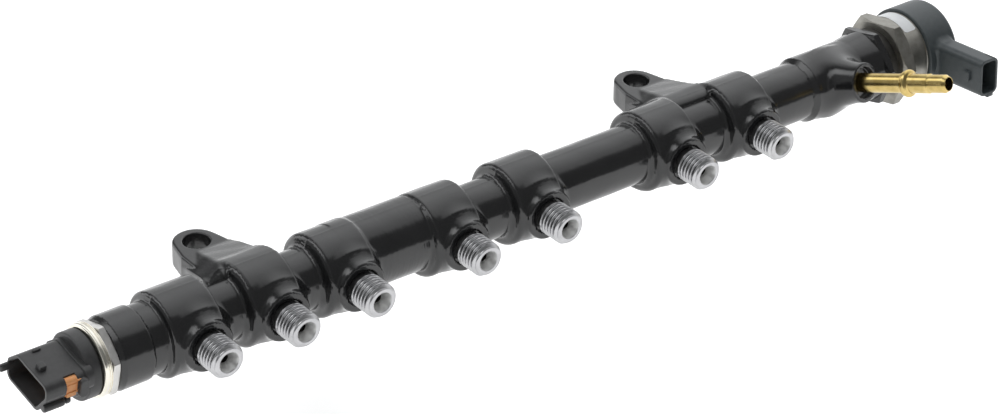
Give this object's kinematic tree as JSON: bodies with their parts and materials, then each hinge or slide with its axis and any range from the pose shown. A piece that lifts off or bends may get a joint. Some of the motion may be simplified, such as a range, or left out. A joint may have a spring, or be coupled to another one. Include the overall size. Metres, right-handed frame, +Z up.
{
  "type": "fuel rail",
  "caption": "Forged high pressure fuel rail with a row of threaded ports, bolt lugs, a pressure sensor, a pressure control valve and a return nipple.",
  "frame": {"origin": "halfway between the two lug holes, on the lugs' lower faces", "axes": "+X along the rail from the sensor to the valve, ports towards -Y, +Z up along the lug holes"},
  "size_m": [0.3852, 0.0886, 0.038],
  "materials": {
    "coated_steel": "satin",
    "plated_steel": "satin",
    "yellow_plated_steel": "satin",
    "bright_steel": "polished",
    "black_plastic": "fine texture",
    "grey_plastic": "fine texture",
    "orange_plastic": "matt",
    "tinned_brass": "bright",
    "copper": "enamelled",
    "soft_iron": "turned",
    "green_board": "lacquered",
    "black_rubber": "matt",
    "white_label": "satin"
  },
  "bodies": {
    "rail": {"rail_body": "coated_steel", "return_nipple": "yellow_plated_steel", "sensor_body": "plated_steel", "sensor_ring": "bright_steel", "sensor_plug": "black_plastic", "contact_carrier": "orange_plastic", "sensor_terminal_1": "tinned_brass", "sensor_terminal_2": "tinned_brass", "sensor_terminal_3": "tinned_brass", "measuring_cell": "bright_steel", "circuit_board": "green_board", "valve_body": "plated_steel", "valve_cap": "grey_plastic", "valve_terminal_1": "tinned_brass", "valve_terminal_2": "tinned_brass", "bobbin": "black_plastic", "coil": "copper", "pole_core": "soft_iron", "valve_seat": "bright_steel", "valve_spring": "bright_steel", "o_ring": "black_rubber", "blank_label": "white_label"},
    "needle": {"armature": "soft_iron", "valve_stem": "bright_steel", "valve_ball": "bright_steel"}
  },
  "joints": [
    {"name": "needle_slide", "type": "slide", "parent": "rail", "child": "needle", "axis": [1, 0, 0], "range_m": [0, 0.0004], "stiffness_N_per_m": 2000, "springref_m": -0.001, "deforming": ["valve_spring"]}
  ]
}
